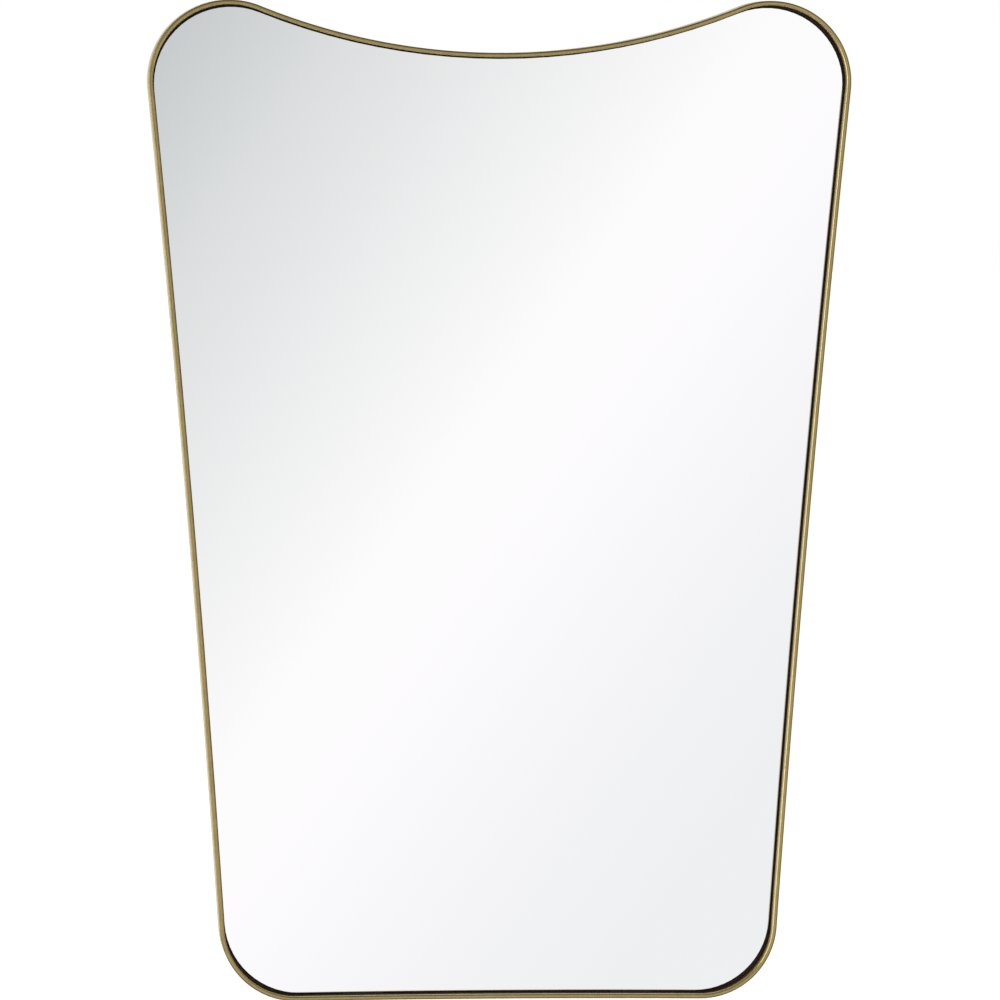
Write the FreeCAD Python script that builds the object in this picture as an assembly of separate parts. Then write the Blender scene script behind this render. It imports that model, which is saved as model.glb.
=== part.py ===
"""Wall mirror: a bent flat-bar band with a rounded nose around a recessed looking glass.

The outline is drawn with tangent arcs: a hollow top edge between two round shoulders, long sides
that taper and hollow very slightly, round lower corners and an almost straight lower edge.
Frame: X across, Z up, the wall is the plane Y = 0 and the glass looks along -Y. The origin is on
the wall, midway between the two wall hooks.
"""
import FreeCAD
import Part
import math
import os

Vec = FreeCAD.Vector
AXIS_X, AXIS_Y, AXIS_Z = Vec(1, 0, 0), Vec(0, 1, 0), Vec(0, 0, 1)

# Driving dimensions, in millimetres
OVERALL_WIDTH = 678.0       # across the two shoulders
OVERALL_HEIGHT = 965.0      # lower edge to the tops of the shoulders
DIP_DEPTH = 50.5            # how far the middle of the top edge lies below the shoulders
SHOULDER_RADIUS = 78.0
BOTTOM_WIDTH = 540.5        # across the outer sides of the two lower corner circles
CORNER_RADIUS = 74.0
SIDE_RADIUS = 24000.0       # the slight hollow of the long sides
BOTTOM_RISE = 1.2           # the slight hollow of the lower edge
HANG_DROP = 180.0           # wall hooks below the tops of the shoulders

# Band, from the wall forward
WALL_STANDOFF = 1.5         # the bumpers hold the band this far off the wall
BAR_DEPTH = 35.0
BAR_THICKNESS = 4.3
NOSE_SHARE = 0.44           # front edge radius, as a share of the bar's thickness
REAR_EASE_SHARE = 0.12      # rear edge radius, as a share of the bar's thickness

# Panel: glass, tape and board
REAR_POCKET = 4.5           # from the band's rear edge in to the back of the board
BOARD_THICKNESS = 5.0
BOARD_GAP = 0.25            # the board fits close, so no light passes it
TAPE_THICKNESS = 1.0
TAPE_WIDTH = 19.0
TAPE_COUNT = 4
TAPE_PITCH = 105.0
TAPE_END_GAP = 110.0        # from the strips' ends to the outline above and below them
GLASS_THICKNESS = 3.0
GLASS_GAP = 1.2
GLASS_ARRIS = 0.5           # ground bevel round the front edge
GLASS_SHOULDER_EXTRA = 1.8  # the glass is cut rounder than the band at its corners
GLASS_CORNER_EXTRA = 4.5
BLOCK_LENGTH = 40.0         # setting blocks under the glass
BLOCK_SPAN = 260.0

# Tabs welded inside the band, behind the board
TAB_THICKNESS = 1.5
TAB_WIDTH = 24.0
TAB_REACH = 20.0            # from the band's inner wall inward
TAB_CORNER = 5.0
TAB_HOLE_REACH = 12.0
TAB_TOP_SPAN = 290.0
TAB_BOTTOM_SPAN = 290.0
TAB_UPPER_SHARE = 0.70      # heights of the side tabs, as shares of the overall height
TAB_LOWER_SHARE = 0.27

# Screws
SCREW_DIAMETER = 3.0
SCREW_HEAD_DIAMETER = 6.6
SCREW_HEAD_HEIGHT = 2.2
SCREW_DOME_SHARE = 0.6      # head edge radius, as a share of the head's height
SCREW_BITE_SHARE = 0.7      # depth in the board, as a share of its thickness
SCREW_POINT = 0.8
SCREW_CLEARANCE = 0.5       # hole over screw, in the tabs and straps, on the diameter
PILOT_CLEARANCE = 0.1       # pilot hole over screw, on the diameter
CROSS_WIDTH = 0.9
CROSS_LENGTH = 3.6
CROSS_DEPTH = 1.2

# Hangers: a strap curled round the straight bar of a D-ring
HANGER_SPAN = 406.4         # between the two wall hooks
RING_WIRE = 2.5
RING_SIDE_PLAY = 1.0        # between the strap's edge and each corner bend
RING_BEND = 3.0             # corner bends, to the wire's middle
RING_LEG = 2.0              # straight length between a corner bend and the round end
STRAP_THICKNESS = 0.9
STRAP_WIDTH = 12.0
RING_PLAY = 0.3             # between the wire and the curl, on the radius
STRAP_HOLE_FIRST = 24.0     # below the ring's pivot
STRAP_HOLE_PITCH = 11.0

# Wall bumpers on the board's four corners
BUMPER_DIAMETER = 12.0
BUMPER_TIP_DIAMETER = 10.0
BUMPER_ROUND = 0.8
BUMPER_INSET = 34.0         # from the band's inner wall

OVERRUN = 5.0               # how far cutting and trimming tools run past a face
PLANE_TOLERANCE = 0.001     # for telling which edges lie in a plane

# Heights
TOP_Z = HANG_DROP
BOTTOM_Z = TOP_Z - OVERALL_HEIGHT

# Depths, from the wall forward
BAND_REAR_Y = -WALL_STANDOFF
BAND_FRONT_Y = BAND_REAR_Y - BAR_DEPTH
BOARD_REAR_Y = BAND_REAR_Y - REAR_POCKET
BOARD_FRONT_Y = BOARD_REAR_Y - BOARD_THICKNESS
GLASS_REAR_Y = BOARD_FRONT_Y - TAPE_THICKNESS
GLASS_FRONT_Y = GLASS_REAR_Y - GLASS_THICKNESS
TAB_REAR_Y = BOARD_REAR_Y + TAB_THICKNESS
STRAP_REAR_Y = BOARD_REAR_Y + STRAP_THICKNESS

# Hanger places
RING_HALF_BAR = STRAP_WIDTH / 2 + RING_SIDE_PLAY
RING_HALF_WIDTH = RING_HALF_BAR + RING_BEND
RING_DROP = RING_BEND + RING_LEG + RING_HALF_WIDTH
CURL_BORE = RING_WIRE / 2 + RING_PLAY
CURL_OUTER = CURL_BORE + STRAP_THICKNESS
PIVOT_Y = BOARD_REAR_Y + CURL_OUTER
PIVOT_Z = RING_WIRE / 2 - RING_DROP
STRAP_HOLES = [PIVOT_Z - STRAP_HOLE_FIRST, PIVOT_Z - STRAP_HOLE_FIRST - STRAP_HOLE_PITCH]
SCREW_BITE = BOARD_THICKNESS * SCREW_BITE_SHARE
SIDES = {"left": -1, "right": 1}


# Outline

def outside_touch(first, second):
    """Where two circles, each (centre, radius), touch from outside."""
    (centre_a, radius_a), (centre_b, radius_b) = first, second
    return centre_a + (centre_b - centre_a) * (radius_a / (radius_a + radius_b))


def circle_touching(first, second, radius):
    """The circle of that radius that touches both from outside, left of the way from first to second."""
    (centre_a, radius_a), (centre_b, radius_b) = first, second
    span = centre_b - centre_a
    reach_a, reach_b = radius + radius_a, radius + radius_b
    along = (reach_a**2 - reach_b**2 + span.Length**2) / (2 * span.Length)
    across = math.sqrt(reach_a**2 - along**2)
    step = Vec(span).normalize()
    return centre_a + step * along + Vec(-step.z, 0, step.x) * across, radius


def outline_circles(inset):
    """The right half's circles, drawn that far inside the band's outer face."""
    shoulder_radius = SHOULDER_RADIUS - inset
    corner_radius = CORNER_RADIUS - inset
    peak_z, foot_z = TOP_Z - inset, BOTTOM_Z + inset
    shoulder_x = OVERALL_WIDTH / 2 - inset - shoulder_radius
    corner_x = BOTTOM_WIDTH / 2 - inset - corner_radius
    shoulder = (Vec(shoulder_x, 0, peak_z - shoulder_radius), shoulder_radius)
    corner = (Vec(corner_x, 0, foot_z + corner_radius), corner_radius)
    dip_radius = shoulder_x**2 / (2 * DIP_DEPTH) + DIP_DEPTH / 2 - shoulder_radius
    bottom_radius = corner_x**2 / (2 * BOTTOM_RISE) + BOTTOM_RISE / 2 - corner_radius
    return {
        "dip": (Vec(0, 0, peak_z - DIP_DEPTH + dip_radius), dip_radius),
        "shoulder": shoulder,
        "side": circle_touching(shoulder, corner, SIDE_RADIUS + inset),
        "corner": corner,
        "bottom": (Vec(0, 0, foot_z + BOTTOM_RISE - bottom_radius), bottom_radius),
    }


def rounder_corners(circles, shoulder_extra, corner_extra):
    """The same hollow edges, joined by larger shoulder and corner circles."""
    shoulder_radius = circles["shoulder"][1] + shoulder_extra
    corner_radius = circles["corner"][1] + corner_extra
    shoulder = circle_touching(circles["side"], circles["dip"], shoulder_radius)
    corner = circle_touching(circles["bottom"], circles["side"], corner_radius)
    return {**circles, "shoulder": shoulder, "corner": corner}


def on_side(point, sign):
    """A point of the right half, or its mirror image when the sign is negative."""
    return Vec(point.x * sign, point.y, point.z)


def arc_between(circle, start, end):
    """The shorter arc of a circle between two of its points."""
    centre, radius = circle
    middle = centre + ((start - centre) + (end - centre)).normalize() * radius
    return Part.Arc(start, middle, end).toShape()


def outline_face(circles, y):
    """The plane face inside the outline, at that depth."""
    names = ["dip", "shoulder", "side", "corner", "bottom"]
    joints = [outside_touch(circles[a], circles[b]) for a, b in zip(names, names[1:])]
    right = [arc_between(circles[name], joints[i], joints[i + 1]) for i, name in enumerate(names[1:-1])]
    left = [edge.mirror(Vec(0, 0, 0), AXIS_X) for edge in right]
    top = arc_between(circles["dip"], on_side(joints[0], -1), joints[0])
    bottom = arc_between(circles["bottom"], joints[-1], on_side(joints[-1], -1))
    wire = Part.Wire([top] + right + [bottom] + left[::-1])
    face = Part.Face(wire)
    face.translate(AXIS_Y * y)
    return face


def outline_solid(circles, front_y, rear_y):
    return outline_face(circles, front_y).extrude(AXIS_Y * (rear_y - front_y))


OUTER = outline_circles(0.0)
INNER_WALL = outline_circles(BAR_THICKNESS)
BOARD_EDGE = outline_circles(BAR_THICKNESS + BOARD_GAP)
GLASS_EDGE = rounder_corners(
    outline_circles(BAR_THICKNESS + GLASS_GAP), GLASS_SHOULDER_EXTRA, GLASS_CORNER_EXTRA)


def edges_at(shape, y):
    """The edges that lie wholly in the plane at that depth."""
    boxes = [(edge, edge.BoundBox) for edge in shape.Edges]
    return [edge for edge, box in boxes if max(abs(box.YMin - y), abs(box.YMax - y)) < PLANE_TOLERANCE]


def hollow_wall_place(circle, aim):
    """The point of a hollow stretch of wall towards aim, and the way from there into the mirror."""
    centre, radius = circle
    inward = (aim - centre).normalize()
    return centre + inward * radius, inward


def round_wall_place(circle, aim, inset):
    """The point that far inside a round stretch of wall, on the line from aim through its centre."""
    centre, radius = circle
    outward = (centre - aim).normalize()
    return centre + outward * (radius - inset)


def screw_hole(place):
    """A tool that drills a clearance hole along Y through a thin plate at that place."""
    radius = (SCREW_DIAMETER + SCREW_CLEARANCE) / 2
    return Part.makeCylinder(radius, 2 * OVERRUN, place - AXIS_Y * OVERRUN, AXIS_Y)


# Frame pieces

def frame_band():
    outer = outline_solid(OUTER, BAND_FRONT_Y, BAND_REAR_Y)
    hole = outline_solid(INNER_WALL, BAND_FRONT_Y - OVERRUN, BAND_REAR_Y + OVERRUN)
    ring = outer.cut(hole)
    ring = ring.makeFillet(BAR_THICKNESS * NOSE_SHARE, edges_at(ring, BAND_FRONT_Y))
    return ring.makeFillet(BAR_THICKNESS * REAR_EASE_SHARE, edges_at(ring, BAND_REAR_Y))


def tab_places():
    """Each tab's point on the band's inner wall and the way inward from it, by name."""
    aims = {
        "top": ("dip", Vec(TAB_TOP_SPAN / 2, 0, TOP_Z - DIP_DEPTH)),
        "upper": ("side", Vec(OVERALL_WIDTH / 2, 0, BOTTOM_Z + OVERALL_HEIGHT * TAB_UPPER_SHARE)),
        "lower": ("side", Vec(OVERALL_WIDTH / 2, 0, BOTTOM_Z + OVERALL_HEIGHT * TAB_LOWER_SHARE)),
        "bottom": ("bottom", Vec(TAB_BOTTOM_SPAN / 2, 0, BOTTOM_Z)),
    }
    places = {}
    for name, (stretch, aim) in aims.items():
        point, inward = hollow_wall_place(INNER_WALL[stretch], aim)
        for side, sign in SIDES.items():
            places[f"{name}_{side}"] = (on_side(point, sign), on_side(inward, sign))
    return places


def tab(place):
    """A lug with its inner corners rounded, trimmed to the band's inner wall."""
    point, inward = place
    corner = Vec(-TAB_WIDTH / 2, BOARD_REAR_Y, -OVERRUN)
    plate = Part.makeBox(TAB_WIDTH, TAB_THICKNESS, TAB_REACH + OVERRUN, corner)
    boxes = [(edge, edge.BoundBox) for edge in plate.Edges]
    inner_corners = [edge for edge, box in boxes if box.ZMin > 0 and box.YLength > PLANE_TOLERANCE]
    plate = plate.makeFillet(TAB_CORNER, inner_corners)
    plate = plate.cut(screw_hole(Vec(0, BOARD_REAR_Y, TAB_HOLE_REACH)))
    plate.rotate(Vec(0, 0, 0), AXIS_Y, math.degrees(math.atan2(inward.x, inward.z)))
    plate.translate(point)
    return plate.common(outline_solid(INNER_WALL, BOARD_REAR_Y - OVERRUN, BAND_REAR_Y))


# Panel pieces

def mirror_glass():
    glass = outline_solid(GLASS_EDGE, GLASS_FRONT_Y, GLASS_REAR_Y)
    return glass.makeChamfer(GLASS_ARRIS, edges_at(glass, GLASS_FRONT_Y))


def mounting_tape():
    """Upright strips between the glass and the board."""
    low_z = BOTTOM_Z + TAPE_END_GAP
    length = OVERALL_HEIGHT - DIP_DEPTH - 2 * TAPE_END_GAP
    strips = []
    for index in range(TAPE_COUNT):
        middle_x = (index - (TAPE_COUNT - 1) / 2) * TAPE_PITCH
        start = Vec(middle_x - TAPE_WIDTH / 2, GLASS_REAR_Y, low_z)
        strips.append(Part.makeBox(TAPE_WIDTH, TAPE_THICKNESS, length, start))
    return Part.makeCompound(strips)


def backing_board():
    board = outline_solid(BOARD_EDGE, BOARD_FRONT_Y, BOARD_REAR_Y)
    pilot_radius = (SCREW_DIAMETER + PILOT_CLEARANCE) / 2
    pilot_depth = SCREW_BITE + PILOT_CLEARANCE
    starts = [Vec(place.x, BOARD_REAR_Y, place.z) for place in tab_screw_places() + strap_screw_places()]
    return board.cut([Part.makeCylinder(pilot_radius, pilot_depth, start, -AXIS_Y) for start in starts])


def setting_block(sign):
    """A rubber block that fills the gap under the glass."""
    front_y = GLASS_FRONT_Y + GLASS_ARRIS
    inside = outline_solid(INNER_WALL, front_y, GLASS_REAR_Y)
    gap = inside.cut(outline_solid(GLASS_EDGE, front_y - OVERRUN, GLASS_REAR_Y + OVERRUN))
    start = Vec(sign * BLOCK_SPAN / 2 - BLOCK_LENGTH / 2, BAND_FRONT_Y, BOTTOM_Z)
    return gap.common(Part.makeBox(BLOCK_LENGTH, BAR_DEPTH, CORNER_RADIUS, start))


def wall_bumper(circle, sign):
    """A low rubber cone on the back of the board that stands on the wall."""
    middle = Vec(0, 0, (TOP_Z + BOTTOM_Z) / 2)
    place = on_side(round_wall_place(circle, middle, BUMPER_INSET), sign)
    start = Vec(place.x, BOARD_REAR_Y, place.z)
    cone = Part.makeCone(BUMPER_DIAMETER / 2, BUMPER_TIP_DIAMETER / 2, -BOARD_REAR_Y, start, AXIS_Y)
    return cone.makeFillet(BUMPER_ROUND, edges_at(cone, 0))


# Screws

def pan_screw(grip, seat):
    """A cross-head screw along Y, with the underside of its head at the seat."""
    radius = SCREW_DIAMETER / 2
    shank_length = grip + SCREW_BITE - SCREW_POINT
    head = Part.makeCylinder(SCREW_HEAD_DIAMETER / 2, SCREW_HEAD_HEIGHT, Vec(0, 0, 0), AXIS_Y)
    head = head.makeFillet(SCREW_HEAD_HEIGHT * SCREW_DOME_SHARE, edges_at(head, SCREW_HEAD_HEIGHT))
    shank = Part.makeCylinder(radius, shank_length, Vec(0, 0, 0), -AXIS_Y)
    point = Part.makeCone(radius, 0, SCREW_POINT, -AXIS_Y * shank_length, -AXIS_Y)
    slot_start = Vec(-CROSS_LENGTH / 2, SCREW_HEAD_HEIGHT - CROSS_DEPTH, -CROSS_WIDTH / 2)
    slot = Part.makeBox(CROSS_LENGTH, CROSS_DEPTH + OVERRUN, CROSS_WIDTH, slot_start)
    other_slot = slot.copy()
    other_slot.rotate(Vec(0, 0, 0), AXIS_Y, 90)
    screw = head.fuse([shank, point]).removeSplitter().cut([slot, other_slot])
    screw.translate(seat)
    return screw


def tab_screw_places():
    places = [point + inward * TAB_HOLE_REACH for point, inward in tab_places().values()]
    return [Vec(place.x, TAB_REAR_Y, place.z) for place in places]


def strap_screw_places():
    middles = [sign * HANGER_SPAN / 2 for sign in SIDES.values()]
    return [Vec(x, STRAP_REAR_Y, z) for x in middles for z in STRAP_HOLES]


def screw_group(grip, seats):
    return Part.makeCompound([pan_screw(grip, seat) for seat in seats])


# Hangers

def hanger_strap(sign):
    """A strap that lies on the board, its upper end curled round the ring's bar."""
    low_x = sign * HANGER_SPAN / 2 - STRAP_WIDTH / 2
    end_z = STRAP_HOLES[-1]
    plate = Part.makeBox(STRAP_WIDTH, STRAP_THICKNESS, PIVOT_Z - end_z, Vec(low_x, BOARD_REAR_Y, end_z))
    end_middle = Vec(sign * HANGER_SPAN / 2, BOARD_REAR_Y, end_z)
    end = Part.makeCylinder(STRAP_WIDTH / 2, STRAP_THICKNESS, end_middle, AXIS_Y)
    pivot = Vec(low_x, PIVOT_Y, PIVOT_Z)
    curl = Part.makeCylinder(CURL_OUTER, STRAP_WIDTH, pivot, AXIS_X)
    bore = Part.makeCylinder(CURL_BORE, STRAP_WIDTH, pivot, AXIS_X)
    mouth = Part.makeBox(STRAP_WIDTH, CURL_OUTER, CURL_OUTER, pivot - Vec(0, CURL_OUTER, CURL_OUTER))
    curl = curl.cut([bore, mouth])
    holes = [screw_hole(Vec(sign * HANGER_SPAN / 2, BOARD_REAR_Y, z)) for z in STRAP_HOLES]
    return plate.fuse([end, curl]).cut(holes).removeSplitter()


def ring_path():
    """The middle of the wire, round from one end of the bar, hanging below the origin."""
    bend = {sign: (Vec(sign * RING_HALF_BAR, 0, -RING_BEND), RING_BEND) for sign in SIDES.values()}
    bar_end = Vec(RING_HALF_BAR, 0, 0)
    leg_top = Vec(RING_HALF_WIDTH, 0, -RING_BEND)
    leg_foot = Vec(RING_HALF_WIDTH, 0, -RING_BEND - RING_LEG)
    edges = [Part.makeLine(on_side(bar_end, -1), bar_end)]
    edges.append(arc_between(bend[1], bar_end, leg_top))
    edges.append(Part.makeLine(leg_top, leg_foot))
    edges.append(Part.Arc(leg_foot, Vec(0, 0, -RING_DROP), on_side(leg_foot, -1)).toShape())
    edges.append(Part.makeLine(on_side(leg_foot, -1), on_side(leg_top, -1)))
    edges.append(arc_between(bend[-1], on_side(leg_top, -1), on_side(bar_end, -1)))
    return Part.Wire(edges)


def hanger_ring(sign):
    """A D-ring of round wire, hanging straight down from its pivot."""
    start = Vec(-RING_HALF_BAR, 0, 0)
    section = Part.Wire(Part.makeCircle(RING_WIRE / 2, start, AXIS_X))
    ring = ring_path().makePipeShell([section], True, False)
    ring.translate(Vec(sign * HANGER_SPAN / 2, PIVOT_Y, PIVOT_Z))
    return ring


# Assembly

def all_pieces():
    pieces = {
        "frame_band": frame_band(),
        "mirror_glass": mirror_glass(),
        "mounting_tape": mounting_tape(),
        "backing_board": backing_board(),
        "tab_screws": screw_group(TAB_THICKNESS, tab_screw_places()),
        "strap_screws": screw_group(STRAP_THICKNESS, strap_screw_places()),
    }
    for name, place in tab_places().items():
        pieces[f"tab_{name}"] = tab(place)
    for side, sign in SIDES.items():
        pieces[f"block_{side}"] = setting_block(sign)
        pieces[f"strap_{side}"] = hanger_strap(sign)
        pieces[f"ring_{side}"] = hanger_ring(sign)
        pieces[f"bumper_top_{side}"] = wall_bumper(INNER_WALL["shoulder"], sign)
        pieces[f"bumper_bottom_{side}"] = wall_bumper(INNER_WALL["corner"], sign)
    return pieces


os.makedirs("parts", exist_ok=True)
for node, shape in all_pieces().items():
    shape.exportStep(f"parts/{node}.step")
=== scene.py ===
"""Looks of the wall mirror: the band's finish, the silvered glass, the back, the studio and the camera."""
import math

import bpy
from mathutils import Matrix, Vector

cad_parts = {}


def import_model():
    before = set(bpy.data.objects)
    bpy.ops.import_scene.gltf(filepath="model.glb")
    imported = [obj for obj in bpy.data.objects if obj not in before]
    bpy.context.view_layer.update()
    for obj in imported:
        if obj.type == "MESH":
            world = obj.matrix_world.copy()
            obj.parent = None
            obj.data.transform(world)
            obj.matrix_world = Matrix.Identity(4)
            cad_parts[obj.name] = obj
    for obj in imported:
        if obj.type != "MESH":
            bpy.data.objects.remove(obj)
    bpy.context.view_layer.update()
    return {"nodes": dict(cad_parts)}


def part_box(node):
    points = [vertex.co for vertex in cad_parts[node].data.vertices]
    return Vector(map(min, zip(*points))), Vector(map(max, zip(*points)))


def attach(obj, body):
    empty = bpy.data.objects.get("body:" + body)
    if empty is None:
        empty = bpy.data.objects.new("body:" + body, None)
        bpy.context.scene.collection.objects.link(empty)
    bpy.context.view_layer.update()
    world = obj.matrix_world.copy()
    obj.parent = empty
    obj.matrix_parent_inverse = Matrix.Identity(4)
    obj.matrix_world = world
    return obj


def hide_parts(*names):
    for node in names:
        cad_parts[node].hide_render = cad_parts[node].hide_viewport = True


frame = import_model()
NODES = frame["nodes"]

# Outline of the band in metres, as the CAD draws it: tangent arcs round the right half, mirrored
OVERALL_WIDTH = 0.678
TOP_Z = 0.180
BOTTOM_Z = -0.785
DIP_DEPTH = 0.0505
SHOULDER_RADIUS = 0.078
BOTTOM_WIDTH = 0.5405
CORNER_RADIUS = 0.074
SIDE_RADIUS = 24.0
BOTTOM_RISE = 0.0012
ROUND_STEP = 0.004          # between stations on the dip, shoulders and corners
STRAIGHT_STEP = 0.012       # between stations on the sides and the lower edge

# Section of the bar
BAR_THICKNESS = 0.0043
NOSE_SHARE = 0.44           # radius of the nose's two rounds, as a share of the thickness
EASE_SHARE = 0.12           # radius of the rear edges, likewise
NOSE_RADIUS = NOSE_SHARE * BAR_THICKNESS
REAR_EASE = EASE_SHARE * BAR_THICKNESS
NOSE_STEPS = 12
EASE_STEPS = 4
RECESS_STEPS = 12           # points down the inner wall, where the patina changes
RECESS_STEP = 0.0014

# Patina and painted shade on the band, from 0 on the bare crown to 1 in the dark of the recess: the recess's
# dark is partly patina and partly painted shade, and the nose's darker edges are painted dark reflection
OUTER_PATINA_AND_DARK_REFLECTION = 0.30         # on the outer wall: patina and a painted dark reflection
EDGE_PAINTED_REFLECTION = 0.36          # a painted dark reflection, added in a fine dark line where the face rounds into the outer wall
EDGE_POWER = 0.6            # below 1, it draws that line in towards the crown
INNER_PATINA_AND_SHADE = 0.10         # on the front part of the inner wall
SIDE_POWER = 1.5            # above 1, it keeps the sides' later start of patina and painted shade to the steep parts of the outline
# Patina and painted shade on the inner wall: how far behind the front it begins, and from there to its full
# depth of tone; it begins soonest on the upper wall and latest at the sides, as painted shade where less
# light falls
UPPER_PATINA_AND_SHADE = (0.0004, 0.0022)
SIDE_PATINA_AND_SHADE = (0.0090, 0.0045)
LOWER_PATINA_AND_SHADE = (0.0045, 0.0045)

# Weld beads where the tabs meet the band
BEAD_LENGTH = 0.007
BEAD_WIDTH = 0.0016
BEAD_FROM_TAB_MIDDLE = 0.008
BEAD_RIPPLES = 7
RIPPLE_SHARE = 0.12         # height of a ripple, as a share of the bead's radius
BEAD_END_SHARE = 0.06       # keeps the ends from closing to a point
BEAD_END_POWER = 0.35       # the lower, the blunter the ends
BEAD_SIDES = 8
STEPS_PER_RIPPLE = 4

# View of the photograph: a long lens from a little to the left and above
CAMERA_AZIMUTH = -4.7
CAMERA_ELEVATION = 3.3
CAMERA_ROLL = 0.14
CAMERA_DISTANCE = 8.5
CAMERA_REACH = 85.0         # how far the camera sees
FRAME_WIDTH = 0.9656        # what the picture spans at the mirror
SENSOR_WIDTH = 36.0
AIM_SHIFT_X = 0.0013
AIM_SHIFT_Z = 0.0007

# Card that the glass shows, with its tones along a slant
CARD_DISTANCE = 2.0
CARD_SIZE = (9.0, 5.0)
CARD_SLANT = 36.0
CARD_SPAN = (-0.54, 0.46)   # along the slant, from the first tone to the last
CARD_SIDES = (0.50, 0.95)   # out from the card's middle, where its foot begins to go white and where it is
CARD_FOOT = (-0.62, -0.15)  # heights on the card, from white at the floor to its own tone
CARD_TONES = {
    0.00: (0.56, 0.59, 0.60),
    0.16: (0.73, 0.745, 0.75),
    0.32: (0.86, 0.865, 0.87),
    0.48: (0.99, 0.985, 0.99),
    0.56: (1.0, 0.985, 1.0),
    0.70: (0.94, 0.93, 0.95),
    0.90: (0.865, 0.88, 0.895),
}

# Studio
WHITE = (1.0, 1.0, 1.0)
SURROUND_HALF_WIDTH = 5.0
SURROUND_HALF_HEIGHT = 4.5
SURROUND_FRONT = 6.0
SURROUND_REAR = 2.4
SURROUND_COLOUR = (0.30, 0.30, 0.30)
FLOOR_DROP = 0.25
FLOOR_SIZE = 60.0
FLOOR_COLOUR = (0.82, 0.82, 0.82)
FLOOR_ROUGHNESS = 0.9
GLOW_DISTANCES = (1.2, 2.6)  # from the floor's middle, where it begins to go white and where it is
FLOOR_GLOW = 0.7
FRONT_LEVEL = 0.30          # soft light on the object from in front and from the sides
BACK_LEVEL = 0.95           # and from behind
LEVEL_SPAN = (0.25, 0.65)   # how far round to the rear the one goes over to the other, as a cosine
# Lamps: place, width and height, watts
LEFT_SOFTBOX = ((-2.4, -0.1, -0.2), (2.4, 2.6), 75)
TOP_FILL = ((0.5, -1.8, 2.2), (2.4, 2.4), 50)

# Finishes: a grain is a noise's (scale per metre, detail, roughness), a relief is (strength, depth in metres)
NOISE_SPAN = (0.3, 0.7)     # where most of a noise's values lie

# Antique brass
BRASS_COLOUR = (0.40, 0.296, 0.104)
BRASS_CLOUD_COLOUR = (0.316, 0.230, 0.077)
BRASS_STREAK_COLOUR = (0.465, 0.354, 0.131)
GLANCE_TINT = (0.90, 0.78, 0.45)  # of reflections at a glancing angle
# Dark brown of the patina, of the painted shade in the recess and of the painted dark reflection on the
# nose's edges
PATINA_AND_SHADE_COLOUR = (0.020, 0.012, 0.005)
PATINA_AND_SHADE_SPECULAR = 0.1
PATINA_AND_SHADE_ROUGHNESS = 0.5      # added where the patina and painted shade are full
METAL_SPAN = (0.5, 1.0)     # patina and painted shade over which the metal's shine goes
BRASS_ROUGHNESS = (0.22, 0.34)
BRASS_CLOUD_GRAIN = (55.0, 5.0, 0.6)
BRASS_CLOUD_SPAN = (0.35, 0.68)
BRUSH_MARKS = (28, 2600, 1)  # per metre, along the bar and across it
BRUSH_GRAIN = (1.0, 4.0, 0.55)  # its scale is per mark
BRUSH_SPAN = (0.25, 0.75)
BRUSH_RELIEF = (0.12, 0.0002)
STREAK_SHARE = 0.35         # how strongly the marks show in the colour
LACQUER_SPAN = (0.2, 0.7)   # patina and painted shade over which the lacquer goes
LACQUER_WEIGHT = 0.6
LACQUER_ROUGHNESS = 0.15

# Plated tabs
TAB_COLOUR = (0.24, 0.185, 0.085)
TAB_CLOUD_COLOUR = (0.12, 0.09, 0.045)
TAB_GRAIN = (160.0, 5.0, 0.65)
TAB_ROUGHNESS = (0.38, 0.6)
TAB_RELIEF = (0.15, 0.0003)

# Silvered glass
SILVER_COLOUR = (0.985, 0.985, 0.985)
GLASS_EDGE_COLOURS = ((0.10, 0.115, 0.10), (0.17, 0.19, 0.17))
GLASS_PAINT_COLOURS = ((0.20, 0.21, 0.22), (0.26, 0.27, 0.28))
GLASS_FACING = 0.99         # least Y part of the normals of its face and back
GLASS_GRAIN = (2400.0, 2.0, 0.5)
GROUND_ROUGHNESS = 0.3      # of its edges and back
HAZE_GRAIN = (9.0, 3.0, 0.5)
HAZE_ROUGHNESS = (0.0, 0.004)

# Hardboard
BOARD_COLOURS = ((0.060, 0.036, 0.020), (0.100, 0.062, 0.036))
BOARD_CLOUD_COLOUR = (0.125, 0.080, 0.048)
SAWN_COLOURS = ((0.30, 0.20, 0.12), (0.46, 0.33, 0.21))
BOARD_FACING = 0.9          # least Y part of the normals of its faces
FIBRE_STRETCH = (1, 1, 0.35)
FIBRE_GRAIN = (420.0, 6.0, 0.65)
FIBRE_RELIEF = (0.25, 0.0004)
BOARD_ROUGHNESS = (0.5, 0.72)
BOARD_CLOUD_GRAIN = (14.0, 4.0, 0.6)
BOARD_CLOUD_SPAN = (0.35, 0.7)
BOARD_CLOUD_SHARE = 0.5

# Zinc plating
SCREW_COLOURS = ((0.62, 0.62, 0.60), (0.50, 0.50, 0.48))
STRAP_COLOURS = ((0.66, 0.66, 0.64), (0.55, 0.55, 0.53))
RING_COLOURS = ((0.70, 0.70, 0.68), (0.58, 0.58, 0.57))
ZINC_CLOUD_GRAIN = (220.0, 4.0, 0.6)
ZINC_MARK_GRAIN = (1500.0, 3.0, 0.6)
ZINC_ROUGHNESS = (0.22, 0.4)
ZINC_RELIEF = (0.08, 0.0001)

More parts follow.
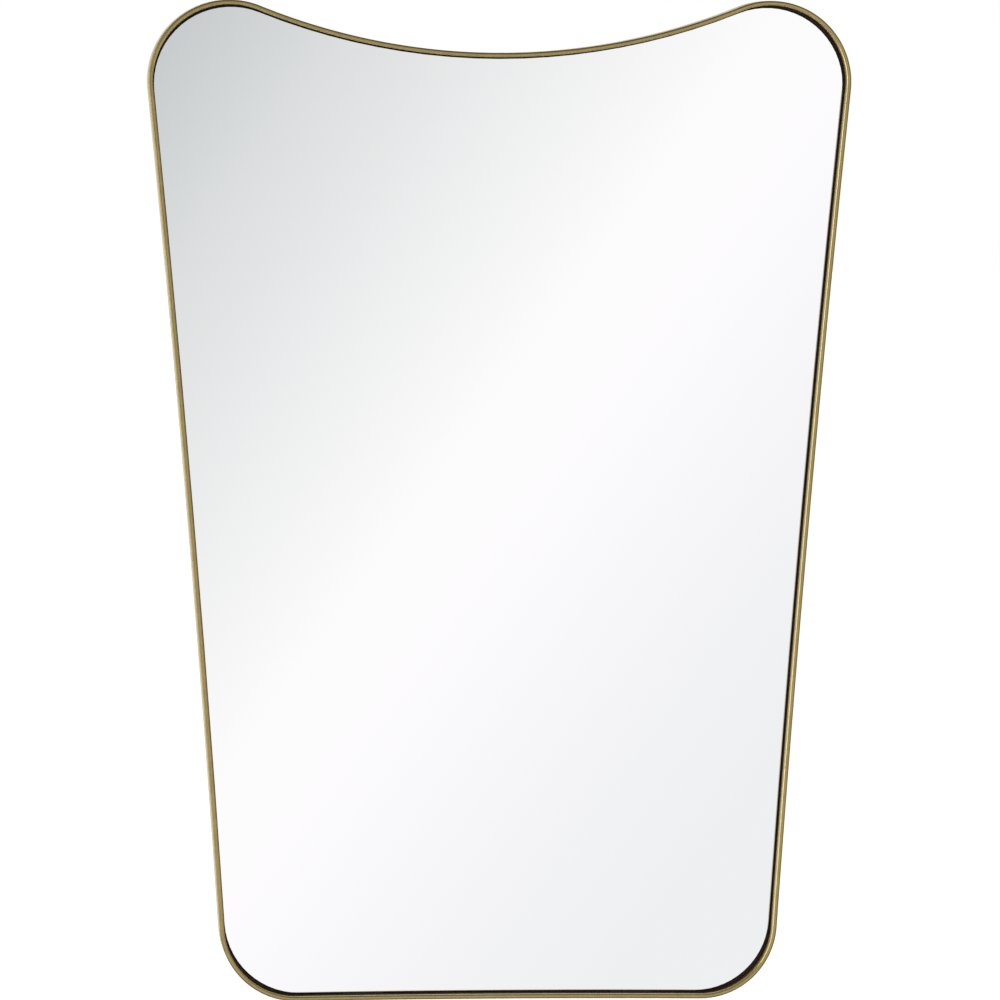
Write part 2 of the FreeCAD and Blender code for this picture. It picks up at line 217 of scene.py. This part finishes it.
# Rubber
BLOCK_COLOURS = ((0.02, 0.02, 0.02), (0.045, 0.045, 0.045))
BUMPER_COLOURS = ((0.035, 0.035, 0.036), (0.08, 0.08, 0.08))
BLOOM_GRAIN = (300.0, 4.0, 0.6)
BLOOM_SPAN = (0.45, 0.8)
BLOOM_SHARE = 0.6
RUBBER_ROUGHNESS = (0.6, 0.85)
RUBBER_RELIEF = (0.15, 0.0003)

# Foam
FOAM_COLOURS = ((0.45, 0.45, 0.43), (0.72, 0.72, 0.70))
FOAM_CELLS = 1800.0
FOAM_CELL_SPAN = (0, 0.6)
FOAM_ROUGHNESS = 0.85
FOAM_RELIEF = (0.3, 0.0002)

BAND_LOW, BAND_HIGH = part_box("frame_band")
MIDDLE = Vector((0, (BAND_LOW.y + BAND_HIGH.y) / 2, (TOP_Z + BOTTOM_Z) / 2))
TABS = sorted(name for name in NODES if name.startswith("tab_") and name != "tab_screws")
BUMPERS = sorted(name for name in NODES if name.startswith("bumper_"))


# Outline

def outside_touch(first, second):
    """Where two circles, each (centre, radius), touch from outside."""
    (centre_a, radius_a), (centre_b, radius_b) = first, second
    return centre_a.lerp(centre_b, radius_a / (radius_a + radius_b))


def circle_touching(first, second, radius):
    """The circle of that radius that touches both from outside, left of the way from first to second."""
    (centre_a, radius_a), (centre_b, radius_b) = first, second
    span = centre_b - centre_a
    reach_a, reach_b = radius + radius_a, radius + radius_b
    along = (reach_a**2 - reach_b**2 + span.length**2) / (2 * span.length)
    across = math.sqrt(reach_a**2 - along**2)
    step = span.normalized()
    return centre_a + step * along + Vector((-step.y, step.x)) * across, radius


def outline_circles():
    """The right half's circles, from the dip in the top edge round to the lower edge."""
    shoulder_x = OVERALL_WIDTH / 2 - SHOULDER_RADIUS
    corner_x = BOTTOM_WIDTH / 2 - CORNER_RADIUS
    dip_radius = shoulder_x**2 / (2 * DIP_DEPTH) + DIP_DEPTH / 2 - SHOULDER_RADIUS
    bottom_radius = corner_x**2 / (2 * BOTTOM_RISE) + BOTTOM_RISE / 2 - CORNER_RADIUS
    dip = (Vector((0, TOP_Z - DIP_DEPTH + dip_radius)), dip_radius)
    shoulder = (Vector((shoulder_x, TOP_Z - SHOULDER_RADIUS)), SHOULDER_RADIUS)
    corner = (Vector((corner_x, BOTTOM_Z + CORNER_RADIUS)), CORNER_RADIUS)
    bottom = (Vector((0, BOTTOM_Z + BOTTOM_RISE - bottom_radius)), bottom_radius)
    return [dip, shoulder, circle_touching(shoulder, corner, SIDE_RADIUS), corner, bottom]


def arc_stations(circle, start, end, outward, step):
    """Points along an arc with the band's outward normals; outward is -1 where the arc is hollow."""
    centre, radius = circle
    angles = [math.atan2((point - centre).y, (point - centre).x) for point in (start, end)]
    turn = (angles[1] - angles[0] + math.pi) % (2 * math.pi) - math.pi
    count = math.ceil(abs(turn) * radius / step)
    stations = []
    for index in range(count + 1):
        angle = angles[0] + turn * index / count
        arm = Vector((math.cos(angle), math.sin(angle)))
        stations.append((centre + arm * radius, arm * outward))
    return stations


def outline_stations():
    """(point, outward normal) all round the outer face, from the middle of the lower edge."""
    circles = outline_circles()
    joints = [outside_touch(a, b) for a, b in zip(circles, circles[1:])]
    dip, bottom = circles[0], circles[-1]
    ends = [dip[0] - Vector((0, dip[1]))] + joints + [bottom[0] + Vector((0, bottom[1]))]
    kinds = [(-1, ROUND_STEP), (1, ROUND_STEP), (-1, STRAIGHT_STEP), (1, ROUND_STEP), (-1, STRAIGHT_STEP)]
    right = []
    for circle, start, end, (outward, step) in zip(circles, ends, ends[1:], kinds):
        right += arc_stations(circle, start, end, outward, step)[1 if right else 0:]
    left = [(Vector((-p.x, p.y)), Vector((-n.x, n.y))) for p, n in right]
    return left[::-1][:-1] + right[:-1]


STATIONS = outline_stations()


# Meshes

def new_mesh(name, vertices, faces):
    """A mesh of those points and faces."""
    mesh = bpy.data.meshes.new(name)
    mesh.from_pydata(vertices, [], faces)
    return mesh


def new_object(name, data):
    """An object in the scene."""
    made = bpy.data.objects.new(name, data)
    bpy.context.scene.collection.objects.link(made)
    return made


def new_piece(name, vertices, faces, body):
    """A mesh piece with smooth faces that rides on a body; its material is added after."""
    mesh = new_mesh(name, vertices, faces)
    mesh.shade_smooth()
    piece = new_object(name, mesh)
    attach(piece, body)
    return piece


def quads(first, rings, sides, closed=False):
    """Faces between closed rings of points from that vertex on; closed joins the last ring to the first."""
    faces = []
    for i in range(rings if closed else rings - 1):
        here, after = first + i * sides, first + (i + 1) % rings * sides
        for j in range(sides):
            up = (j + 1) % sides
            faces.append((here + j, here + up, after + up, after + j))
    return faces


# Pieces made here

def quarter_round(inset, depth, radius, first_turn, steps):
    """Points of a quarter circle in the section, as (inset, depth)."""
    turns = [(first_turn + i / steps) * math.pi / 2 for i in range(steps + 1)]
    return [(inset - radius * math.cos(a), depth - radius * math.sin(a)) for a in turns]


def bar_section():
    """The bar's section as (inset from the outer face, depth), round from the rear."""
    front, rear = BAND_LOW.y, BAND_HIGH.y
    inner_nose_middle = BAR_THICKNESS - NOSE_RADIUS
    nose_end = front + NOSE_RADIUS
    points = quarter_round(REAR_EASE, rear - REAR_EASE, REAR_EASE, -1, EASE_STEPS)
    points += quarter_round(NOSE_RADIUS, nose_end, NOSE_RADIUS, 0, NOSE_STEPS)
    points += quarter_round(inner_nose_middle, nose_end, NOSE_RADIUS, 1, NOSE_STEPS)
    points += [(BAR_THICKNESS, nose_end + RECESS_STEP * (i + 1)) for i in range(RECESS_STEPS)]
    points += quarter_round(BAR_THICKNESS - REAR_EASE, rear - REAR_EASE, REAR_EASE, 2, EASE_STEPS)
    return points


def patina_and_shade(inset, depth, normal):
    """Patina and painted shade: none on the crown, some on the outer wall, full in the recess: first at the
    top, last at the sides.
    """
    behind = depth - BAND_LOW.y
    round_share = min(behind / NOSE_RADIUS, 1.0)
    turned = math.sqrt(round_share)
    if inset < BAR_THICKNESS / 2:
        # Outer wall: patina with a painted dark reflection, and a fine painted dark line of reflection at the
        # face's edge
        return OUTER_PATINA_AND_DARK_REFLECTION * turned + EDGE_PAINTED_REFLECTION * math.sin(math.pi * round_share ** EDGE_POWER)
    # Inner wall: a little patina near the front, then the recess darkens, sooner above and below than at the
    # sides, as patina and painted shade
    shade = INNER_PATINA_AND_SHADE * turned
    level = Vector(UPPER_PATINA_AND_SHADE if normal.y > 0 else LOWER_PATINA_AND_SHADE)
    start, fade = level.lerp(Vector(SIDE_PATINA_AND_SHADE), abs(normal.x) ** SIDE_POWER)
    share = min(max((behind - start) / fade, 0.0), 1.0)
    return shade + (1 - shade) * share


def running_lengths(points):
    """Lengths from the first point round the closed line, ending with the whole."""
    lengths = [0.0]
    for here, after in zip(points, points[1:] + points[:1]):
        lengths.append(lengths[-1] + (after - here).length)
    return lengths


def map_bar(mesh, section):
    """UV in metres: U along the bar, V across its section."""
    along = running_lengths([point for point, _ in STATIONS])
    across = running_lengths([Vector(place) for place in section])
    values = []
    for i in range(len(STATIONS)):
        for j in range(len(section)):
            corners = [(i, j), (i, j + 1), (i + 1, j + 1), (i + 1, j)]
            values += [value for a, b in corners for value in (along[a], across[b])]
    mesh.uv_layers.new(name="bar").data.foreach_set("uv", values)


def frame_band():
    """The bar's section swept along the outline, with a map that runs along and across the bar."""
    section = bar_section()
    vertices = []
    for point, normal in STATIONS:
        for inset, depth in section:
            place = point - normal * inset
            vertices.append((place.x, depth, place.y))
    faces = quads(0, len(STATIONS), len(section), closed=True)
    band = new_piece("band", vertices, faces, "mirror")
    map_bar(band.data, section)
    # Patina and painted shade at each point of the band
    shades = [patina_and_shade(inset, depth, normal) for _, normal in STATIONS for inset, depth in section]
    band.data.attributes.new("patina_and_shade", "FLOAT", "POINT").data.foreach_set("value", shades)
    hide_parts("frame_band")
    return band


def backing_board():
    """The board, drawn right up to the band's wall so that no light passes its edge."""
    low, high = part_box("backing_board")
    edge = [point - normal * BAR_THICKNESS for point, normal in STATIONS]
    count = len(edge)
    vertices = [(place.x, depth, place.y) for depth in (low.y, high.y) for place in edge]
    faces = [tuple(reversed(range(count))), tuple(range(count, 2 * count))] + quads(0, 2, count)
    board = new_piece("board", vertices, faces, "mirror")
    board.data.shade_flat()
    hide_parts("backing_board")
    return board


def bead_ring(centre, inward, depth, radius):
    """A ring of points round a bead's middle line."""
    ring = []
    for j in range(BEAD_SIDES):
        angle = 2 * math.pi * j / BEAD_SIDES
        place = centre + inward * radius * math.cos(angle)
        ring.append((place.x, depth + radius * math.sin(angle), place.y))
    return ring


def bead(middle, run, inward, depth):
    """Points of one rippled bead in the corner between a tab's rear face and the band's wall."""
    steps = BEAD_RIPPLES * STEPS_PER_RIPPLE
    points = []
    for i in range(steps + 1):
        share = i / steps
        swell = max(math.sin(math.pi * share), BEAD_END_SHARE) ** BEAD_END_POWER
        ripple = 1 + RIPPLE_SHARE * math.sin(2 * math.pi * BEAD_RIPPLES * share)
        centre = middle + run * BEAD_LENGTH * (share - 1 / 2)
        points += bead_ring(centre, inward, depth, BEAD_WIDTH / 2 * swell * ripple)
    return points


def bead_faces(first, rings):
    """Faces of a closed tube of rings that starts at that vertex."""
    last = first + (rings - 1) * BEAD_SIDES
    start_cap = tuple(first + j for j in reversed(range(BEAD_SIDES)))
    end_cap = tuple(last + j for j in range(BEAD_SIDES))
    return [start_cap] + quads(first, rings, BEAD_SIDES) + [end_cap]


def weld_beads():
    """Two beads at each tab."""
    rings = BEAD_RIPPLES * STEPS_PER_RIPPLE + 1
    vertices, faces = [], []
    for name in TABS:
        low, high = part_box(name)
        centre = Vector((low.x + high.x, low.z + high.z)) / 2
        point, normal = min(STATIONS, key=lambda station: (station[0] - centre).length)
        run = Vector((-normal.y, normal.x))
        wall = centre + normal * ((point - centre).dot(normal) - BAR_THICKNESS)
        for sign in (-1, 1):
            faces += bead_faces(len(vertices), rings)
            vertices += bead(wall + run * sign * BEAD_FROM_TAB_MIDDLE, run, -normal, high.y)
    return new_piece("weld_beads", vertices, faces, "mirror")


# Materials

class Nodes:
    """Builds a node tree. Each method that adds a node gives back its output."""

    # The Mix node's sockets for colours: share, first and second colour, and the result
    MIX_INPUTS = (0, 6, 7)
    MIX_RESULT = 2

    def __init__(self, tree):
        self.tree = tree

    def add(self, kind, inputs=None, **settings):
        """A new node itself, with its inputs fed."""
        made = self.tree.nodes.new(kind)
        for key, value in settings.items():
            setattr(made, key, value)
        for key, value in (inputs or {}).items():
            self.feed(made.inputs[key], value)
        return made

    def feed(self, socket, value):
        """Links an output to the socket, or sets the socket's own number, vector or opaque colour."""
        if isinstance(value, bpy.types.NodeSocket):
            self.tree.links.new(value, socket)
        elif socket.type == "RGBA":
            socket.default_value = (*value, 1.0)
        else:
            socket.default_value = value

    def surface(self, inputs):
        """Feeds the Principled shader."""
        for key, value in inputs.items():
            self.feed(self.tree.nodes["Principled BSDF"].inputs[key], value)

    def place(self):
        """Where the point is on the object, in metres."""
        return self.add("ShaderNodeTexCoord").outputs["Object"]

    def facing(self):
        """The Y part of the surface's own normal: -1 faces the room, 1 faces the wall."""
        normal = self.add("ShaderNodeNewGeometry").outputs["Normal"]
        return self.add("ShaderNodeSeparateXYZ", {0: normal}).outputs["Y"]

    def stretched(self, vector, scale):
        """A vector scaled along each axis by itself."""
        return self.add("ShaderNodeMapping", {"Vector": vector, "Scale": scale}).outputs["Vector"]

    def noise(self, vector, scale, detail, roughness):
        """Cloudy values about a half."""
        inputs = {"Vector": vector, "Scale": scale, "Detail": detail, "Roughness": roughness}
        return self.add("ShaderNodeTexNoise", inputs).outputs["Fac"]

    def remap(self, value, span, to=(0, 1)):
        """A value carried from one span to another, and held at its ends."""
        limits = {"From Min": span[0], "From Max": span[1], "To Min": to[0], "To Max": to[1]}
        return self.add("ShaderNodeMapRange", {"Value": value, **limits}).outputs["Result"]

    def mix(self, share, first, second):
        """The first colour at share 0, going over to the second at 1."""
        made = self.add("ShaderNodeMix", data_type="RGBA")
        for index, value in zip(self.MIX_INPUTS, (share, first, second)):
            self.feed(made.inputs[index], value)
        return made.outputs[self.MIX_RESULT]

    def calc(self, operation, *values):
        """A sum, product or test of values."""
        return self.add("ShaderNodeMath", dict(enumerate(values)), operation=operation).outputs[0]

    def bump(self, height, strength, distance):
        """A normal tilted by a height."""
        inputs = {"Height": height, "Strength": strength, "Distance": distance}
        return self.add("ShaderNodeBump", inputs).outputs["Normal"]

    def seen_in_picture(self):
        """1 for rays from the camera, off gloss or through glass, and 0 for light on the object."""
        path = self.add("ShaderNodeLightPath").outputs
        seen = self.calc("MAXIMUM", path["Is Camera Ray"], path["Is Glossy Ray"])
        return self.calc("MAXIMUM", seen, path["Is Transmission Ray"])


def new_material(name):
    """A material and its nodes."""
    material = bpy.data.materials.new(name)
    material.use_nodes = True
    return material, Nodes(material.node_tree)


def antique_brass():
    """Brushed, lacquered brass with a mottled olive tone, dark brown in the recess from patina and painted
    shade, with painted dark reflection along the nose's edges.
    """
    material, nodes = new_material("antique_brass")
    bar = nodes.add("ShaderNodeUVMap", uv_map="bar").outputs["UV"]
    streaks = nodes.noise(nodes.stretched(bar, BRUSH_MARKS), *BRUSH_GRAIN)
    cloud = nodes.remap(nodes.noise(nodes.place(), *BRASS_CLOUD_GRAIN), BRASS_CLOUD_SPAN)
    # Patina and painted shade, read from the band's points
    dark = nodes.add("ShaderNodeAttribute", attribute_name="patina_and_shade").outputs["Fac"]
    rubbed = nodes.mix(cloud, BRASS_COLOUR, BRASS_CLOUD_COLOUR)
    rubbed = nodes.mix(nodes.remap(streaks, NOISE_SPAN, (0, STREAK_SHARE)), rubbed, BRASS_STREAK_COLOUR)
    rough = nodes.remap(streaks, BRUSH_SPAN, BRASS_ROUGHNESS)
    nodes.surface({
        "Base Color": nodes.mix(dark, rubbed, PATINA_AND_SHADE_COLOUR),
        "Metallic": nodes.remap(dark, METAL_SPAN, (1, 0)),
        "Roughness": nodes.calc("ADD", rough, nodes.calc("MULTIPLY", dark, PATINA_AND_SHADE_ROUGHNESS)),
        "Specular IOR Level": PATINA_AND_SHADE_SPECULAR,
        "Specular Tint": GLANCE_TINT,
        "Coat Weight": nodes.remap(dark, LACQUER_SPAN, (LACQUER_WEIGHT, 0)),
        "Coat Roughness": LACQUER_ROUGHNESS,
        "Normal": nodes.bump(streaks, *BRUSH_RELIEF),
    })
    return material


def plated_tab():
    """The tabs' duller plating, clouded by the heat of the welds."""
    material, nodes = new_material("plated_tab")
    mottle = nodes.noise(nodes.place(), *TAB_GRAIN)
    nodes.surface({
        "Base Color": nodes.mix(nodes.remap(mottle, NOISE_SPAN), TAB_COLOUR, TAB_CLOUD_COLOUR),
        "Metallic": 1.0,
        "Roughness": nodes.remap(mottle, NOISE_SPAN, TAB_ROUGHNESS),
        "Normal": nodes.bump(mottle, *TAB_RELIEF),
    })
    return material


def silvered_glass():
    """A clear silver face, ground grey-green edges and a painted back."""
    material, nodes = new_material("silvered_glass")
    facing = nodes.facing()
    face = nodes.calc("LESS_THAN", facing, -GLASS_FACING)
    back = nodes.calc("GREATER_THAN", facing, GLASS_FACING)
    haze = nodes.noise(nodes.place(), *HAZE_GRAIN)
    grain = nodes.remap(nodes.noise(nodes.place(), *GLASS_GRAIN), NOISE_SPAN)
    edge = nodes.mix(grain, *GLASS_EDGE_COLOURS)
    paint = nodes.mix(grain, *GLASS_PAINT_COLOURS)
    worn = nodes.calc("MULTIPLY", nodes.calc("SUBTRACT", 1.0, face), GROUND_ROUGHNESS)
    nodes.surface({
        "Base Color": nodes.mix(face, nodes.mix(back, edge, paint), SILVER_COLOUR),
        "Metallic": face,
        "Roughness": nodes.calc("ADD", worn, nodes.remap(haze, NOISE_SPAN, HAZE_ROUGHNESS)),
    })
    return material


def hardboard():
    """Brown hardboard with a smooth face and paler sawn edges."""
    material, nodes = new_material("hardboard")
    sawn = nodes.calc("LESS_THAN", nodes.calc("ABSOLUTE", nodes.facing()), BOARD_FACING)
    fibre = nodes.noise(nodes.stretched(nodes.place(), FIBRE_STRETCH), *FIBRE_GRAIN)
    strands = nodes.remap(fibre, NOISE_SPAN)
    cloud = nodes.noise(nodes.place(), *BOARD_CLOUD_GRAIN)
    cloud = nodes.remap(cloud, BOARD_CLOUD_SPAN, (0, BOARD_CLOUD_SHARE))
    face = nodes.mix(cloud, nodes.mix(strands, *BOARD_COLOURS), BOARD_CLOUD_COLOUR)
    nodes.surface({
        "Base Color": nodes.mix(sawn, face, nodes.mix(strands, *SAWN_COLOURS)),
        "Roughness": nodes.remap(fibre, NOISE_SPAN, BOARD_ROUGHNESS),
        "Normal": nodes.bump(fibre, *FIBRE_RELIEF),
    })
    return material


def zinc_plate(name, light, dark):
    """Bright zinc plating with a faint cloud and fine drawing marks."""
    material, nodes = new_material(name)
    cloud = nodes.remap(nodes.noise(nodes.place(), *ZINC_CLOUD_GRAIN), NOISE_SPAN)
    marks = nodes.noise(nodes.place(), *ZINC_MARK_GRAIN)
    nodes.surface({
        "Base Color": nodes.mix(cloud, light, dark),
        "Metallic": 1.0,
        "Roughness": nodes.remap(marks, NOISE_SPAN, ZINC_ROUGHNESS),
        "Normal": nodes.bump(marks, *ZINC_RELIEF),
    })
    return material


def rubber(name, dark, dusty):
    """Moulded rubber with a dusty bloom."""
    material, nodes = new_material(name)
    bloom = nodes.noise(nodes.place(), *BLOOM_GRAIN)
    nodes.surface({
        "Base Color": nodes.mix(nodes.remap(bloom, BLOOM_SPAN, (0, BLOOM_SHARE)), dark, dusty),
        "Roughness": nodes.remap(bloom, NOISE_SPAN, RUBBER_ROUGHNESS),
        "Normal": nodes.bump(bloom, *RUBBER_RELIEF),
    })
    return material


def foam_tape():
    """Closed-cell foam."""
    material, nodes = new_material("foam_tape")
    voronoi = nodes.add("ShaderNodeTexVoronoi", {"Vector": nodes.place(), "Scale": FOAM_CELLS})
    cells = voronoi.outputs["Distance"]
    nodes.surface({
        "Base Color": nodes.mix(nodes.remap(cells, FOAM_CELL_SPAN), *FOAM_COLOURS),
        "Roughness": FOAM_ROUGHNESS,
        "Normal": nodes.bump(cells, *FOAM_RELIEF),
    })
    return material


def dress(material, *names):
    """Gives CAD nodes a material."""
    for name in names:
        NODES[name].data.materials.clear()
        NODES[name].data.materials.append(material)


# Studio

def view_back():
    """The way from the mirror to the camera."""
    azimuth, elevation = math.radians(CAMERA_AZIMUTH), math.radians(CAMERA_ELEVATION)
    level = Vector((math.sin(azimuth), -math.cos(azimuth), 0)) * math.cos(elevation)
    return level + Vector((0, 0, math.sin(elevation)))


def stage_piece(name, vertices, faces, material):
    """A mesh of the studio, which isn't part of the mirror."""
    piece = new_object(name, new_mesh(name, vertices, faces))
    piece.data.materials.append(material)
    return piece


def stage_plane(name, size, material):
    """A level rectangle of the studio about the origin."""
    x, y = size[0] / 2, size[1] / 2
    return stage_piece(name, [(-x, -y, 0), (x, -y, 0), (x, y, 0), (-x, y, 0)], [(0, 1, 2, 3)], material)


def only_in_gloss(piece):
    """Hides a piece of the studio from everything but reflections."""
    for rays in ("camera", "diffuse", "transmission", "volume_scatter", "shadow"):
        setattr(piece, "visible_" + rays, False)


def shining_material(name):
    """A material that only shines, its nodes and the socket of its colour."""
    material, nodes = new_material(name)
    light = nodes.add("ShaderNodeEmission")
    nodes.feed(nodes.tree.nodes["Material Output"].inputs["Surface"], light.outputs["Emission"])
    return material, nodes, light.inputs["Color"]


def slanting_tone(nodes):
    """Pale grey to white and back along a slant, as the glass shows it."""
    slant = math.radians(CARD_SLANT)
    spread = 1 + CARD_DISTANCE / CAMERA_DISTANCE
    way = Vector((math.cos(slant), -math.sin(slant), 0)) / spread
    along = nodes.add("ShaderNodeVectorMath", {0: nodes.place(), 1: way}, operation="DOT_PRODUCT")
    ramp = nodes.add("ShaderNodeValToRGB", {"Fac": nodes.remap(along.outputs["Value"], CARD_SPAN)})
    elements = ramp.color_ramp.elements
    while len(elements) < len(CARD_TONES):
        elements.new(position=1.0)
    for element, (position, tone) in zip(elements, CARD_TONES.items()):
        element.position = position
        element.color = (*tone, 1.0)
    return ramp.outputs["Color"]


def card_tone(nodes):
    """The slanting tone, which goes white towards the floor beside what the photograph shows."""
    place = nodes.add("ShaderNodeSeparateXYZ", {0: nodes.place()}).outputs
    beside = nodes.remap(nodes.calc("ABSOLUTE", place["X"]), CARD_SIDES)
    low = nodes.remap(place["Y"], CARD_FOOT, (1, 0))
    return nodes.mix(nodes.calc("MULTIPLY", beside, low), slanting_tone(nodes), WHITE)


def gradient_card():
    """The backdrop that the glass shows."""
    material, nodes, colour = shining_material("gradient_card")
    nodes.feed(colour, card_tone(nodes))
    back = view_back()
    reach = Vector((-back.x, back.y, -back.z)) / -back.y
    card = stage_plane("gradient_card", CARD_SIZE, material)
    card.location = MIDDLE + reach * CARD_DISTANCE
    card.rotation_euler = (math.pi / 2, 0, 0)
    only_in_gloss(card)


def surround():
    """Grey walls at the sides, above and in front, which darken the edges of the band's nose."""
    material, nodes, colour = shining_material("surround")
    nodes.feed(colour, SURROUND_COLOUR)
    x, z = SURROUND_HALF_WIDTH, SURROUND_HALF_HEIGHT
    corners = ((-x, -z), (-x, z), (x, z), (x, -z))
    depths = (-SURROUND_FRONT, SURROUND_REAR)
    vertices = [(side, depth, height) for depth in depths for side, height in corners]
    faces = [(0, 1, 5, 4), (1, 2, 6, 5), (2, 3, 7, 6), (0, 3, 2, 1)]
    only_in_gloss(stage_piece("surround", vertices, faces, material))


def floor():
    """A pale floor that goes white far off and keeps the object's shadow."""
    material, nodes = new_material("floor")
    away = nodes.add("ShaderNodeVectorMath", {0: nodes.place()}, operation="LENGTH").outputs["Value"]
    glow = nodes.remap(away, GLOW_DISTANCES, (0, FLOOR_GLOW))
    nodes.surface({
        "Base Color": FLOOR_COLOUR,
        "Roughness": FLOOR_ROUGHNESS,
        "Emission Color": WHITE,
        "Emission Strength": nodes.calc("MULTIPLY", nodes.seen_in_picture(), glow),
    })
    stage_plane("floor", (FLOOR_SIZE, FLOOR_SIZE), material).location = (0, 0, BOTTOM_Z - FLOOR_DROP)


def soft_light(name, location, size, watts, in_gloss=True):
    """A wide lamp that points at the mirror."""
    data = bpy.data.lights.new(name, "AREA")
    data.shape = "RECTANGLE"
    data.size, data.size_y = size
    data.energy = watts
    lamp = new_object(name, data)
    lamp.location = location
    lamp.rotation_euler = (MIDDLE - lamp.location).to_track_quat("-Z", "Y").to_euler()
    lamp.visible_camera = False
    lamp.visible_glossy = in_gloss


def world():
    """White in the picture, and soft light on the object that is brighter behind it than in front."""
    made = bpy.data.worlds.new("studio")
    made.use_nodes = True
    nodes = Nodes(made.node_tree)
    way = nodes.add("ShaderNodeTexCoord").outputs["Generated"]
    depth = nodes.add("ShaderNodeSeparateXYZ", {0: way}).outputs["Y"]
    level = nodes.remap(depth, LEVEL_SPAN, (FRONT_LEVEL, BACK_LEVEL))
    background = made.node_tree.nodes["Background"].inputs
    nodes.feed(background["Color"], WHITE)
    nodes.feed(background["Strength"], nodes.calc("MAXIMUM", nodes.seen_in_picture(), level))
    bpy.context.scene.world = made


def camera():
    """The photograph's view."""
    data = bpy.data.cameras.new("photograph")
    data.sensor_width = SENSOR_WIDTH
    data.lens = SENSOR_WIDTH * CAMERA_DISTANCE / FRAME_WIDTH
    data.clip_end = CAMERA_REACH
    seat = new_object("photograph", data)
    back = view_back()
    seat.location = MIDDLE + Vector((AIM_SHIFT_X, 0, AIM_SHIFT_Z)) + back * CAMERA_DISTANCE
    turn = (-back).to_track_quat("-Z", "Y").to_euler()
    turn.rotate_axis("Z", math.radians(CAMERA_ROLL))
    seat.rotation_euler = turn
    bpy.context.scene.camera = seat
    bpy.context.scene.view_settings.view_transform = "Standard"


# The dressed mirror

frame_band().data.materials.append(antique_brass())
tab_plating = plated_tab()
weld_beads().data.materials.append(tab_plating)
dress(tab_plating, *TABS)
dress(silvered_glass(), "mirror_glass")
backing_board().data.materials.append(hardboard())
dress(foam_tape(), "mounting_tape")
dress(zinc_plate("zinc_screws", *SCREW_COLOURS), "tab_screws", "strap_screws")
dress(zinc_plate("zinc_straps", *STRAP_COLOURS), "strap_left", "strap_right")
dress(zinc_plate("zinc_rings", *RING_COLOURS), "ring_left", "ring_right")
dress(rubber("block_rubber", *BLOCK_COLOURS), "block_left", "block_right")
dress(rubber("bumper_rubber", *BUMPER_COLOURS), *BUMPERS)

# Its studio and view

soft_light("left_softbox", *LEFT_SOFTBOX)
soft_light("top_fill", *TOP_FILL, in_gloss=False)
gradient_card()
surround()
floor()
world()
camera()
